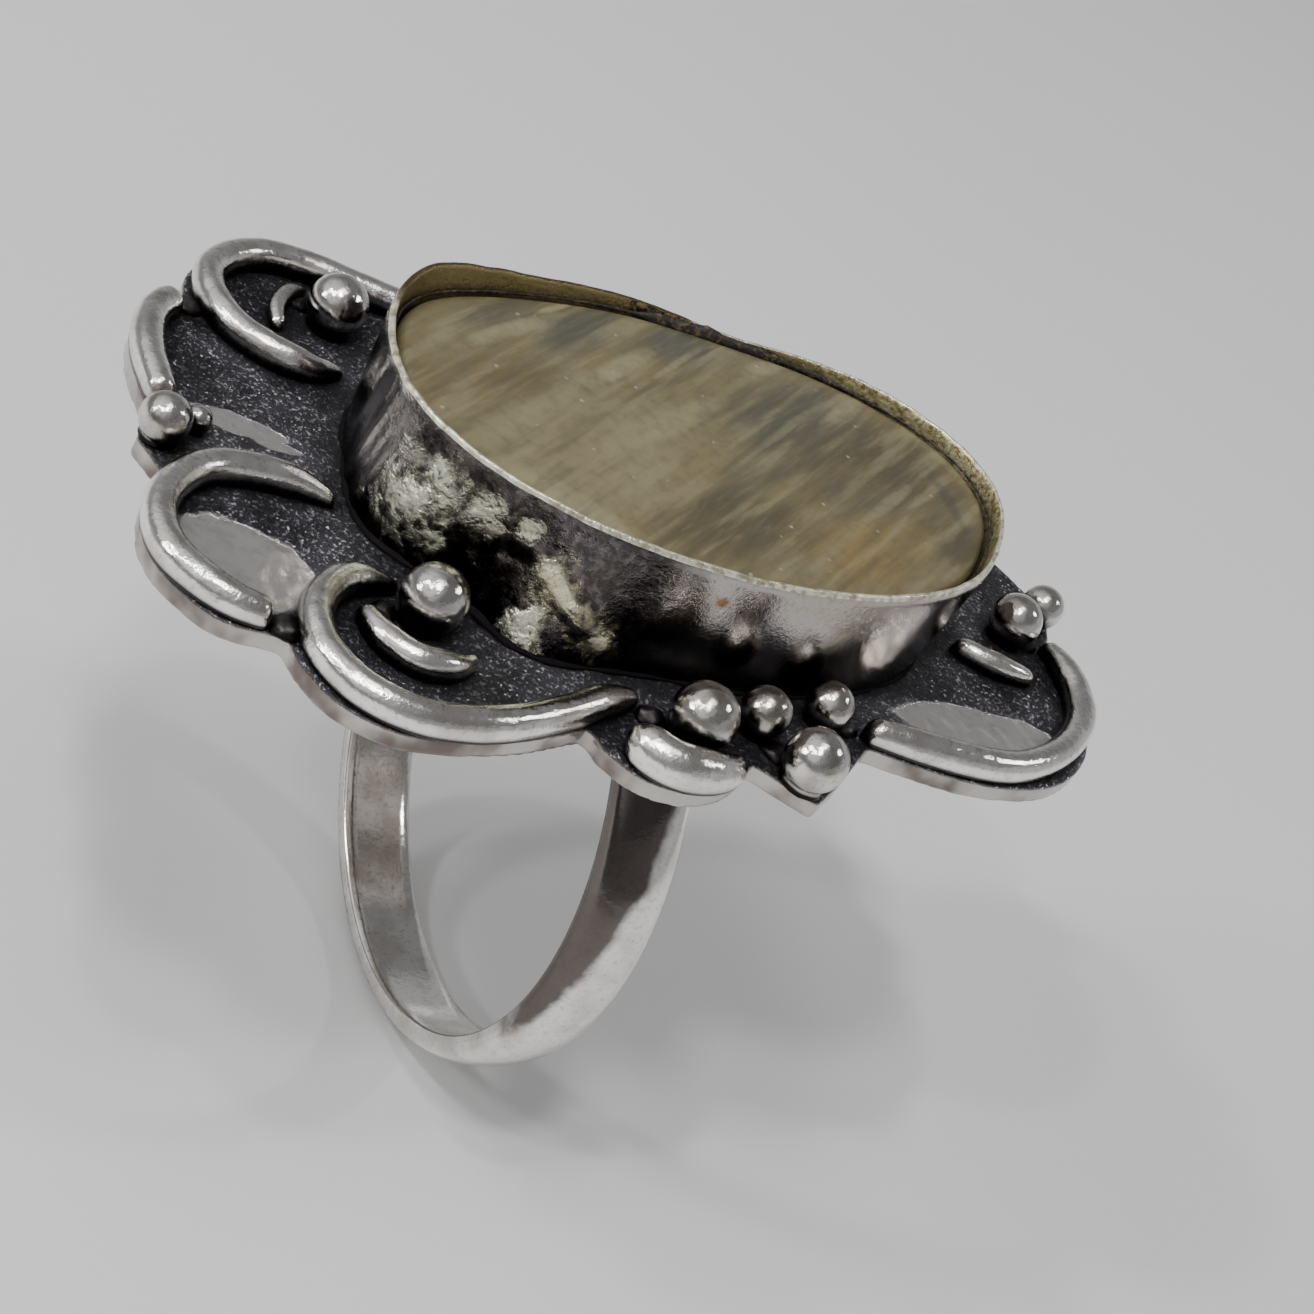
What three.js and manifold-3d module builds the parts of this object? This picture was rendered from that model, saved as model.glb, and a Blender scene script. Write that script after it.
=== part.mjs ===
// A cocktail ring: a round-wire and bead border on a scalloped plate, a tall plain bezel
// with a flat oval stone, and a plain D-section shank.
// Millimetres. The origin is the centre of the finger hole. +X runs along the finger, which is
// also the long axis of the stone; +Z runs up through the stone; -Y and +Y are the two long sides.
import * as THREE from 'three';
import { mergeVertices } from 'three/addons/utils/BufferGeometryUtils.js';
import Module from 'manifold-3d';

const wasm = await Module();
wasm.setup();

// Shank
const HOLE_R = 9.1;             // inner radius of the finger hole
const SHANK_WIDTH = 2.65;       // along the finger
const SHANK_THICK = 0.95;       // at the crown of the D section
const SHANK_EDGE = 0.35;        // thickness left at each side of the D section
const SHANK_STEPS = 72;
const CROWN_STEPS = 8;
const CROWN_REACH = 0.96;       // share of a half circle used for the rounded outside of the D

// Plate under the border
const PLATE_BOTTOM = 9.5;       // the shank is filed flat here
const PLATE_TOP = 10.25;

// Bezel and stone
const BEZEL_CX = 0.5;           // the bezel sits a little towards +X
const BEZEL_CY = -0.1;
const BEZEL_A = 11.0;           // half length at the rim
const BEZEL_B = 6.95;           // half width at the rim
const BEZEL_WALL = 0.35;
const WALL_STEPS = 3;
const BEZEL_FLARE = 0.035;      // the foot is this share smaller than the rim
const RIM_Z = 14.65;
const BEZEL_STEPS = 72;
// The hand-bent strip isn't a true oval. Each entry is one soft bump or dent, as
// [angle round the oval in degrees, size, spread in degrees]. PLAN sizes are shares of the
// radius, RISE sizes are millimetres at the rim, and FOOT sizes are shares of the radius that
// grow from nothing at the rim to the whole at the foot.
const PLAN_BUMPS = [[140, 0.075, 20], [75, -0.05, 18], [22, 0.03, 20], [-24, -0.03, 18]];
const RISE_BUMPS = [[136, 0.45, 16], [74, -0.3, 18]];
const FOOT_BUMPS = [[237, 0.14, 12], [198, 0.05, 16]];
const SEAT_Z = 12.1;            // top of the packing that carries the stone
const STONE_TOP = 14.25;
const STONE_BEVEL = 0.3;
const SETTING_GAP = 0.06;       // between the stone or its packing and the wall

// Wires and beads
const WIRE_R = 0.5;             // border scrolls
const WIRE_SIDES = 12;
const SINK = 0.86;              // a soldered wire's axis stands this share of its radius high
const WIRE_STEP = 0.62;         // spacing of the sections along a wire
const WIRE_MIN_STEPS = 8;       // a short wire still gets this many
const TAPER = 4.2;              // length of a wire's tapered end, in radii
const TIP_DEPTH = 0.1;          // how far back the rounded tip starts, in radii
const TIP_SHARE = 0.75;         // share of the end radius left at the rounded tip
const BEAD_SINK = 0.94;         // a bead's centre stands this share of its radius high
const BEAD_ROWS = 7;
const BEAD_SIDES = 14;

const SILVER = 0xb9b6b2;
const PALE_SILVER = 0xc4c0b4;
const BLACKENED = 0x3a3836;
const CLAY = 0x5b5548;
const OLIVE = 0x847a58;
const ring = new THREE.Group();

function metal(color, roughness) {
  return new THREE.MeshStandardMaterial({ color, roughness, metalness: 1 });
}

function mineral(color, roughness) {
  return new THREE.MeshStandardMaterial({ color, roughness });
}

function add(name, geometry, material) {
  const mesh = new THREE.Mesh(geometry, material);
  mesh.name = name;
  ring.add(mesh);
}

function welded(geometry) {
  const bare = geometry.clone();
  bare.deleteAttribute('normal');
  bare.deleteAttribute('uv');
  return mergeVertices(bare, 1e-4);
}

function toSolid(geometry) {
  const bare = welded(geometry);
  return new wasm.Manifold(new wasm.Mesh({
    numProp: 3,
    vertProperties: new Float32Array(bare.attributes.position.array),
    triVerts: new Uint32Array(bare.index.array),
  }));
}

function toGeometry(solid) {
  const mesh = solid.getMesh();
  const geometry = new THREE.BufferGeometry();
  geometry.setAttribute('position', new THREE.BufferAttribute(mesh.vertProperties, 3));
  geometry.setIndex(new THREE.BufferAttribute(mesh.triVerts, 1));
  geometry.computeVertexNormals();
  return geometry;
}

function moveVertices(geometry, place) {
  const position = geometry.attributes.position;
  const v = new THREE.Vector3();
  for (let i = 0; i < position.count; i += 1) {
    v.fromBufferAttribute(position, i);
    place(v);
    position.setXYZ(i, v.x, v.y, v.z);
  }
  geometry.computeVertexNormals();
  return geometry;
}

const mirrored = (points) => points.map(([x, y]) => [x, -y]);

// --- Shank: a D section turned about the X axis, filed flat where it meets the plate ---
function shankGeometry() {
  const half = SHANK_WIDTH / 2;
  const profile = [];
  profile.push(new THREE.Vector2(HOLE_R, -half));
  for (let i = 0; i <= CROWN_STEPS; i += 1) {
    const t = -1 + (2 * i) / CROWN_STEPS;
    const rise = (SHANK_THICK - SHANK_EDGE) * Math.sqrt(1 - (CROWN_REACH * t) ** 2);
    profile.push(new THREE.Vector2(HOLE_R + SHANK_EDGE + rise, t * half));
  }
  profile.push(new THREE.Vector2(HOLE_R, half));
  profile.push(new THREE.Vector2(HOLE_R, -half));
  const band = new THREE.LatheGeometry(profile, SHANK_STEPS);
  band.rotateZ(-Math.PI / 2);
  const reach = HOLE_R + SHANK_THICK;
  const file = new THREE.BoxGeometry(2 * SHANK_WIDTH, 2 * reach, reach);
  file.translate(0, 0, PLATE_BOTTOM + reach / 2);
  return toGeometry(toSolid(band).subtract(toSolid(file)));
}

// --- Plate: one lobe for each border scroll, with pointed corners between them ---
const NEAR_LOBES = [
  [[-16.0, -1.0], [-16.75, -2.4], [-17.05, -3.8], [-16.9, -5.0], [-16.25, -6.1], [-15.3, -6.95],
    [-13.6, -7.2]],
  [[-13.5, -8.0], [-12.9, -9.2], [-11.9, -10.0], [-10.4, -10.4], [-7.6, -10.05], [-4.9, -9.15]],
  [[-4.7, -9.9], [-3.8, -10.85], [-2.3, -11.2], [-0.7, -10.7], [0.4, -9.7]],
];
const NEAR_POINT = [[1.35, -10.45], [2.15, -11.05], [3.2, -10.2], [5.2, -8.3]];
const NEAR_RIGHT = [[5.2, -8.3], [7.7, -9.0], [9.6, -9.25], [11.6, -9.05], [13.1, -8.45], [14.5, -7.3],
  [15.4, -5.8], [15.75, -4.2], [15.55, -2.4]];
const RIGHT_POINT = [16.7, -0.1];
const LEFT_POINT = [-16.5, 0.3];
const FAR_LEFT = [
  [[-15.9, 1.4], [-16.0, 2.9], [-16.0, 4.2], [-15.7, 5.5], [-15.0, 6.65], [-13.75, 7.5]],
  [[-13.6, 8.3], [-13.2, 9.2], [-12.3, 10.0], [-11.0, 10.6], [-9.7, 10.65], [-8.1, 10.2], [-4.7, 9.15]],
];

function spline(shape, points) {
  shape.lineTo(...points[0]);
  shape.splineThru(points.slice(1).map(([x, y]) => new THREE.Vector2(x, y)));
}

function plateGeometry() {
  const shape = new THREE.Shape();
  shape.moveTo(...LEFT_POINT);
  NEAR_LOBES.forEach((lobe) => spline(shape, lobe));
  NEAR_POINT.forEach(([x, y]) => shape.lineTo(x, y));
  shape.splineThru(NEAR_RIGHT.slice(1).map(([x, y]) => new THREE.Vector2(x, y)));
  shape.lineTo(...RIGHT_POINT);
  spline(shape, mirrored(NEAR_RIGHT).reverse());
  mirrored(NEAR_POINT).reverse().slice(1).forEach(([x, y]) => shape.lineTo(x, y));
  spline(shape, mirrored(NEAR_LOBES[2]).reverse());
  const [farLeft, farUpper] = FAR_LEFT;
  spline(shape, [...farUpper].reverse());
  spline(shape, [...farLeft].reverse());
  shape.closePath();
  const sheet = new THREE.ExtrudeGeometry(shape, {
    depth: PLATE_TOP - PLATE_BOTTOM, bevelEnabled: false, curveSegments: 3,
  });
  sheet.translate(0, 0, PLATE_BOTTOM);
  return sheet;
}

// --- Bezel, packing and stone share one outline, drawn in by a given amount ---
function bumpsAt(bumps, angle) {
  return bumps.reduce((sum, [degrees, size, spread]) => {
    const away = angle - THREE.MathUtils.degToRad(degrees);
    const off = Math.atan2(Math.sin(away), Math.cos(away)) / THREE.MathUtils.degToRad(spread);
    return sum + size * Math.exp(-(off ** 2));
  }, 0);
}

function ovalPoint(angle, inset) {
  const scale = 1 + bumpsAt(PLAN_BUMPS, angle);
  const x = (BEZEL_A - inset) * Math.cos(angle) * scale;
  const y = (BEZEL_B - inset) * Math.sin(angle) * scale;
  return new THREE.Vector2(x, y);
}

function ovalPoints(inset) {
  const points = [];
  for (let i = 0; i < BEZEL_STEPS; i += 1) points.push(ovalPoint((i / BEZEL_STEPS) * 2 * Math.PI, inset));
  return points;
}

// Every oval solid leans with the wall: full size at the rim, drawn in or pushed out at the foot.
function flared(geometry) {
  return moveVertices(geometry, (v) => {
    const down = (RIM_Z - v.z) / (RIM_Z - PLATE_TOP);
    const angle = Math.atan2(v.y / BEZEL_B, v.x / BEZEL_A);
    const scale = 1 - BEZEL_FLARE * down + bumpsAt(FOOT_BUMPS, angle) * down ** 2;
    v.x = BEZEL_CX + v.x * scale;
    v.y = BEZEL_CY + v.y * scale;
  });
}

function bezelGeometry() {
  const shape = new THREE.Shape(ovalPoints(0));
  shape.holes.push(new THREE.Path(ovalPoints(BEZEL_WALL).reverse()));
  const height = RIM_Z - PLATE_TOP;
  const wall = new THREE.ExtrudeGeometry(shape, { depth: height, steps: WALL_STEPS, bevelEnabled: false });
  wall.translate(0, 0, PLATE_TOP);
  moveVertices(flared(wall), (v) => {
    const up = (v.z - PLATE_TOP) / height;
    const angle = Math.atan2((v.y - BEZEL_CY) / BEZEL_B, (v.x - BEZEL_CX) / BEZEL_A);
    v.z += bumpsAt(RISE_BUMPS, angle) * up ** 2;
  });
  return wall;
}

function packingGeometry() {
  const shape = new THREE.Shape(ovalPoints(BEZEL_WALL + SETTING_GAP));
  const slab = new THREE.ExtrudeGeometry(shape, { depth: SEAT_Z - PLATE_TOP, steps: 2, bevelEnabled: false });
  slab.translate(0, 0, PLATE_TOP);
  return flared(slab);
}

function stoneGeometry() {
  const shape = new THREE.Shape(ovalPoints(BEZEL_WALL + SETTING_GAP));
  const stone = new THREE.ExtrudeGeometry(shape, {
    depth: STONE_TOP - SEAT_Z - 2 * STONE_BEVEL,
    bevelEnabled: true,
    bevelThickness: STONE_BEVEL,
    bevelSize: STONE_BEVEL,
    bevelOffset: -STONE_BEVEL,
    bevelSegments: 2,
  });
  stone.translate(0, 0, SEAT_Z + STONE_BEVEL);
  return flared(stone);
}

// --- Wires: a straight round-ended spindle, bent along a curve and bedded on the plate ---
// The section's radius is full in the middle and falls to the given share at each end.
function wireGeometry(points, radius, startShare, endShare) {
  const path = points.map(([x, y]) => new THREE.Vector3(x, y, 0));
  const curve = new THREE.CatmullRomCurve3(path, false, 'centripetal');
  const length = curve.getLength();
  const steps = Math.max(WIRE_MIN_STEPS, Math.round(length / WIRE_STEP));
  const taper = TAPER * radius;
  const radiusAt = (s) => {
    const fromStart = Math.min(1, s / taper);
    const fromEnd = Math.min(1, (length - s) / taper);
    const start = startShare + (1 - startShare) * Math.sin((fromStart * Math.PI) / 2);
    const end = endShare + (1 - endShare) * Math.sin((fromEnd * Math.PI) / 2);
    return radius * Math.min(start, end);
  };
  const profile = [new THREE.Vector2(0, 0)];
  profile.push(new THREE.Vector2(radiusAt(0) * TIP_SHARE, TIP_DEPTH * radius));
  for (let i = 1; i < steps; i += 1) {
    const s = (length * i) / steps;
    profile.push(new THREE.Vector2(radiusAt(s), s));
  }
  profile.push(new THREE.Vector2(radiusAt(length) * TIP_SHARE, length - TIP_DEPTH * radius));
  profile.push(new THREE.Vector2(0, length));
  const spindle = new THREE.LatheGeometry(profile, WIRE_SIDES);
  return moveVertices(spindle, (v) => {
    const u = THREE.MathUtils.clamp(v.y / length, 0, 1);
    const at = curve.getPointAt(u);
    const along = curve.getTangentAt(u);
    const across = new THREE.Vector3(along.y, -along.x, 0).normalize();
    const lift = SINK * radiusAt(v.y);
    const height = Math.max(0, lift + v.z);
    v.set(at.x + across.x * v.x, at.y + across.y * v.x, PLATE_TOP + height);
  });
}

// --- Beads: a ball with a small flat where it is soldered ---
function beadGeometry(x, y, radius) {
  const flat = Math.acos(-BEAD_SINK);
  const profile = [new THREE.Vector2(0, -BEAD_SINK * radius)];
  for (let i = 0; i < BEAD_ROWS; i += 1) {
    const polar = flat - (flat * i) / BEAD_ROWS;
    profile.push(new THREE.Vector2(radius * Math.sin(polar), radius * Math.cos(polar)));
  }
  profile.push(new THREE.Vector2(0, radius));
  const bead = new THREE.LatheGeometry(profile, BEAD_SIDES);
  bead.rotateX(Math.PI / 2);
  bead.translate(x, y, PLATE_TOP + BEAD_SINK * radius);
  return bead;
}

// Border scrolls: routes over the plate, and the share of the radius left at each end
const SCROLLS = {
  far_left: {
    route: [[-4.0, 8.4], [-6.5, 9.3], [-8.1, 9.85], [-9.7, 10.3], [-10.9, 10.25], [-12.0, 9.7],
      [-12.75, 8.85], [-13.0, 7.9], [-12.9, 6.9], [-12.5, 6.0], [-11.6, 5.2], [-10.5, 4.8], [-9.1, 5.1]],
    start: 0.6,
    end: 0.35,
  },
  left_far: {
    route: [[-14.2, 6.9], [-14.85, 6.3], [-15.35, 5.4], [-15.6, 4.5], [-15.7, 3.5], [-15.65, 2.6],
      [-15.6, 1.7]],
    start: 0.9,
    end: 0.9,
  },
  left_near: {
    route: [[-10.9, -1.35], [-12.2, -0.95], [-13.6, -0.85], [-14.85, -1.1], [-15.85, -1.9], [-16.5, -2.85],
      [-16.75, -3.9], [-16.6, -5.0], [-15.95, -5.9], [-15.2, -6.5], [-14.1, -6.9]],
    start: 0.4,
    end: 0.8,
  },
  near_left: {
    route: [[-9.8, -4.7], [-10.9, -4.75], [-11.8, -5.1], [-12.65, -6.1], [-12.95, -7.1], [-12.8, -8.2],
      [-12.1, -9.3], [-10.8, -10.0], [-9.35, -10.1], [-7.7, -9.8], [-5.9, -9.1], [-4.3, -8.35],
      [-3.1, -7.85]],
    start: 0.35,
    end: 0.5,
  },
  right_near: {
    route: [[5.0, -7.9], [7.1, -8.45], [8.9, -8.75], [10.1, -8.75], [11.2, -8.5], [12.5, -7.9],
      [13.8, -6.95], [14.7, -5.9], [15.15, -4.8], [15.3, -3.8], [15.3, -2.9], [15.15, -2.2]],
    start: 0.8,
    end: 0.6,
  },
};
SCROLLS.right_far = { ...SCROLLS.right_near, route: mirrored(SCROLLS.right_near.route) };

// Short curled wires that cup the larger beads
const CURLS = {
  far_left: {
    radius: 0.3,
    start: 0.7,
    end: 0.5,
    route: [[-10.85, 6.8], [-10.75, 7.7], [-10.4, 8.4], [-9.9, 8.95], [-9.4, 9.25]],
  },
  near_left: {
    radius: 0.47,
    start: 0.6,
    end: 0.5,
    route: [[-11.15, -5.8], [-11.1, -6.5], [-10.8, -7.2], [-10.1, -7.8], [-9.1, -7.85], [-8.1, -7.3]],
  },
  near_centre: {
    radius: 0.68,
    start: 0.95,
    end: 0.45,
    route: [[-3.45, -9.6], [-3.65, -10.2], [-3.0, -10.75], [-1.9, -10.85], [-1.0, -10.6], [-0.4, -10.0]],
  },
  right_near: {
    radius: 0.43,
    start: 0.7,
    end: 0.6,
    route: [[10.9, -2.9], [11.6, -3.5], [12.6, -3.95], [13.7, -4.1]],
  },
};
CURLS.far_centre = { ...CURLS.near_centre, route: mirrored(CURLS.near_centre.route) };
CURLS.right_far = { ...CURLS.right_near, route: mirrored(CURLS.right_near.route) };

// Beads: [x, y, radius]
const BEADS = {
  far_left: [-8.95, 7.65, 0.97],
  near_left: [-9.3, -5.8, 1.0],
  left_tip: [-15.9, 0.35, 0.76],
  left_tip_small: [-14.7, 1.0, 0.42],
  right_tip: [15.55, -0.75, 0.76],
  right_near: [13.7, -1.9, 0.9],
  near_centre: [-1.65, -9.1, 1.03],
  near_inner: [0.93, -8.3, 0.8],
  near_outer: [1.8, -10.25, 0.98],
  near_right: [3.63, -7.5, 0.75],
};
const FAR_COPIES = ['near_centre', 'near_inner', 'near_outer', 'near_right', 'right_near'];
FAR_COPIES.forEach((name) => {
  const [x, y, radius] = BEADS[name];
  BEADS[name.replace('near', 'far')] = [x, -y, radius];
});

add('shank', shankGeometry(), metal(SILVER, 0.16));
add('backplate', plateGeometry(), metal(BLACKENED, 0.5));
add('bezel_wall', bezelGeometry(), metal(PALE_SILVER, 0.14));
add('stone_packing', packingGeometry(), mineral(CLAY, 0.9));
add('stone', stoneGeometry(), mineral(OLIVE, 0.2));
Object.entries(SCROLLS).forEach(([name, { route, start, end }]) => {
  add(`scroll_${name}`, wireGeometry(route, WIRE_R, start, end), metal(SILVER, 0.2));
});
Object.entries(CURLS).forEach(([name, { route, radius, start, end }]) => {
  add(`crescent_${name}`, wireGeometry(route, radius, start, end), metal(SILVER, 0.2));
});
Object.entries(BEADS).forEach(([name, [x, y, radius]]) => {
  add(`bead_${name}`, beadGeometry(x, y, radius), metal(SILVER, 0.12));
});

export default ring;
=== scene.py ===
"""A cocktail ring: oval banded stone, tall bezel, scrolled wire and bead border, plain shank.

Lengths are in millimetres in the tables and turned into metres by MM as each mesh is made.
The frame is the CAD model's: +X along the finger, +Z up through the stone.
"""
import math

import bpy
import bmesh
from mathutils import Matrix, Vector, noise


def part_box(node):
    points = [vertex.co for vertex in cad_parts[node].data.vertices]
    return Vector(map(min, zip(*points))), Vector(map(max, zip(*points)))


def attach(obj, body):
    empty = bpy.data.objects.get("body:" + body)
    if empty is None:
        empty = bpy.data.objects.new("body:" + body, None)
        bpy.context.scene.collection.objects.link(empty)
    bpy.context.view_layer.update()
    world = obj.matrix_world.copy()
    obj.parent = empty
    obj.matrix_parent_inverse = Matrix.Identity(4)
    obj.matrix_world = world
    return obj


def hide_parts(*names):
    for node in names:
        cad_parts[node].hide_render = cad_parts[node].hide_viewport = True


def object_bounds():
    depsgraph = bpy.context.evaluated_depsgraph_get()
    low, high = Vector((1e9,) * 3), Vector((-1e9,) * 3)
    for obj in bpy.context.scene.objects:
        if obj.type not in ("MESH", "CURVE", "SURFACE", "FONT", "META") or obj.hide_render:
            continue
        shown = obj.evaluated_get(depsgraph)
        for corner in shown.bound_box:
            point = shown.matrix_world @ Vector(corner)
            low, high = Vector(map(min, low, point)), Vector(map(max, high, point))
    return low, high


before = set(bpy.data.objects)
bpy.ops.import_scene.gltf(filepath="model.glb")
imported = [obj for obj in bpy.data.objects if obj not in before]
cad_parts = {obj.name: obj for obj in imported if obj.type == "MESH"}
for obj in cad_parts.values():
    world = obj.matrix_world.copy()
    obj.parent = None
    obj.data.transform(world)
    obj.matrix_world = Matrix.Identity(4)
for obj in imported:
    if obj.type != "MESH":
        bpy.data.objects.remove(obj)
cad_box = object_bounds()

MM = 0.001


def box_mm(node):
    """Lowest and highest corners of a CAD node, in millimetres."""
    low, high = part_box(node)
    return low / MM, high / MM


PLATE_BOTTOM = box_mm("backplate")[0].z
PLATE_TOP = box_mm("backplate")[1].z
STONE_TOP = box_mm("stone")[1].z
SEAT_Z = box_mm("stone")[0].z
FLOOR_Z = cad_box[0].z / MM

# Bezel outline, as in the CAD model
BEZEL_CENTRE = (0.5, -0.1)
BEZEL_A, BEZEL_B = 11.0, 6.95
BEZEL_WALL = 0.35
BEZEL_FLARE = 0.035
RIM_Z = 14.65
PLAN_BUMPS = [(140, 0.075, 20), (75, -0.05, 18), (22, 0.03, 20), (-24, -0.03, 18)]
RISE_BUMPS = [(136, 0.45, 16), (74, -0.3, 18)]
FOOT_BUMPS = [(237, 0.14, 12), (198, 0.05, 16)]
SETTING_GAP = 0.06

# Soldered things reach this far into the plate
BEDDED = 0.02

# Shank section, as in the CAD model
SHANK_WIDTH = 2.65
SHANK_THICK = 0.95
SHANK_EDGE = 0.35
HOLE_R = 9.1

# Border wires, as in the CAD model: route over the plate, radius, share of it left at each end.
# SINK and TAPER are the height of a wire's axis and the length of its tapered end, in radii
WIRE_R = 0.5
SINK = 0.86
TAPER = 4.2
RIGHT_SWEEP = [(5.0, -7.9), (7.1, -8.45), (8.9, -8.75), (10.1, -8.75), (11.2, -8.5), (12.5, -7.9),
               (13.8, -6.95), (14.7, -5.9), (15.15, -4.8), (15.3, -3.8), (15.3, -2.9), (15.15, -2.2)]
RIGHT_CURL = [(10.9, -2.9), (11.6, -3.5), (12.6, -3.95), (13.7, -4.1)]
CENTRE_CURL = [(-3.45, -9.6), (-3.65, -10.2), (-3.0, -10.75), (-1.9, -10.85), (-1.0, -10.6), (-0.4, -10.0)]


def mirrored(route):
    """The same route on the far side of the ring."""
    return [(x, -y) for x, y in route]


WIRES = {
    "scroll_far_left": ([(-4.0, 8.4), (-6.5, 9.3), (-8.1, 9.85), (-9.7, 10.3), (-10.9, 10.25), (-12.0, 9.7),
                         (-12.75, 8.85), (-13.0, 7.9), (-12.9, 6.9), (-12.5, 6.0), (-11.6, 5.2),
                         (-10.5, 4.8), (-9.1, 5.1)], WIRE_R, 0.6, 0.35),
    "scroll_left_far": ([(-14.2, 6.9), (-14.85, 6.3), (-15.35, 5.4), (-15.6, 4.5), (-15.7, 3.5),
                         (-15.65, 2.6), (-15.6, 1.7)], WIRE_R, 0.9, 0.9),
    "scroll_left_near": ([(-10.9, -1.35), (-12.2, -0.95), (-13.6, -0.85), (-14.85, -1.1), (-15.85, -1.9),
                          (-16.5, -2.85), (-16.75, -3.9), (-16.6, -5.0), (-15.95, -5.9), (-15.2, -6.5),
                          (-14.1, -6.9)], WIRE_R, 0.4, 0.8),
    "scroll_near_left": ([(-9.8, -4.7), (-10.9, -4.75), (-11.8, -5.1), (-12.65, -6.1), (-12.95, -7.1),
                          (-12.8, -8.2), (-12.1, -9.3), (-10.8, -10.0), (-9.35, -10.1), (-7.7, -9.8),
                          (-5.9, -9.1), (-4.3, -8.35), (-3.1, -7.85)], WIRE_R, 0.35, 0.5),
    "scroll_right_near": (RIGHT_SWEEP, WIRE_R, 0.8, 0.6),
    "scroll_right_far": (mirrored(RIGHT_SWEEP), WIRE_R, 0.8, 0.6),
    "crescent_far_left": ([(-10.85, 6.8), (-10.75, 7.7), (-10.4, 8.4), (-9.9, 8.95), (-9.4, 9.25)],
                          0.3, 0.7, 0.5),
    "crescent_near_left": ([(-11.15, -5.8), (-11.1, -6.5), (-10.8, -7.2), (-10.1, -7.8), (-9.1, -7.85),
                            (-8.1, -7.3)], 0.47, 0.6, 0.5),
    "crescent_near_centre": (CENTRE_CURL, 0.68, 0.95, 0.45),
    "crescent_far_centre": (mirrored(CENTRE_CURL), 0.68, 0.95, 0.45),
    "crescent_right_near": (RIGHT_CURL, 0.43, 0.7, 0.6),
    "crescent_right_far": (mirrored(RIGHT_CURL), 0.43, 0.7, 0.6),
}
BEADS = [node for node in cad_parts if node.startswith("bead_")]


# ---------------------------------------------------------------- mesh helpers

def piece(name, verts, faces, material, replaces=()):
    """Makes a smooth-shaded mesh from points in millimetres and hands it to the frame."""
    mesh = bpy.data.meshes.new(name)
    mesh.from_pydata([(x * MM, y * MM, z * MM) for x, y, z in verts], [], faces)
    mesh.validate()
    mesh.polygons.foreach_set("use_smooth", [True] * len(mesh.polygons))
    obj = bpy.data.objects.new(name, mesh)
    bpy.context.scene.collection.objects.link(obj)
    obj.data.materials.append(material)
    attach(obj, "root")
    if replaces:
        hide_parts(*replaces)
    return obj


def ring_faces(rings, around, closed=False):
    """Quads between successive rings of the same count, with one face over each open end."""
    faces = []
    for i in range(rings if closed else rings - 1):
        low = i * around
        high = (i + 1) % rings * around
        for k in range(around):
            after = (k + 1) % around
            faces.append((low + k, low + after, high + after, high + k))
    if not closed:
        faces.append(tuple(reversed(range(around))))
        faces.append(tuple((rings - 1) * around + k for k in range(around)))
    return faces


def tidy_normals(obj):
    mesh = bmesh.new()
    mesh.from_mesh(obj.data)
    bmesh.ops.recalc_face_normals(mesh, faces=mesh.faces)
    mesh.to_mesh(obj.data)
    mesh.free()


def rough(x, y, z, scale, octaves=3):
    """Fractal noise at a place in millimetres, with features about `scale` millimetres across."""
    return noise.fractal(Vector((x, y, z)) / scale, 1.0, 2.0, octaves)


# ---------------------------------------------------------------- material helpers

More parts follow.
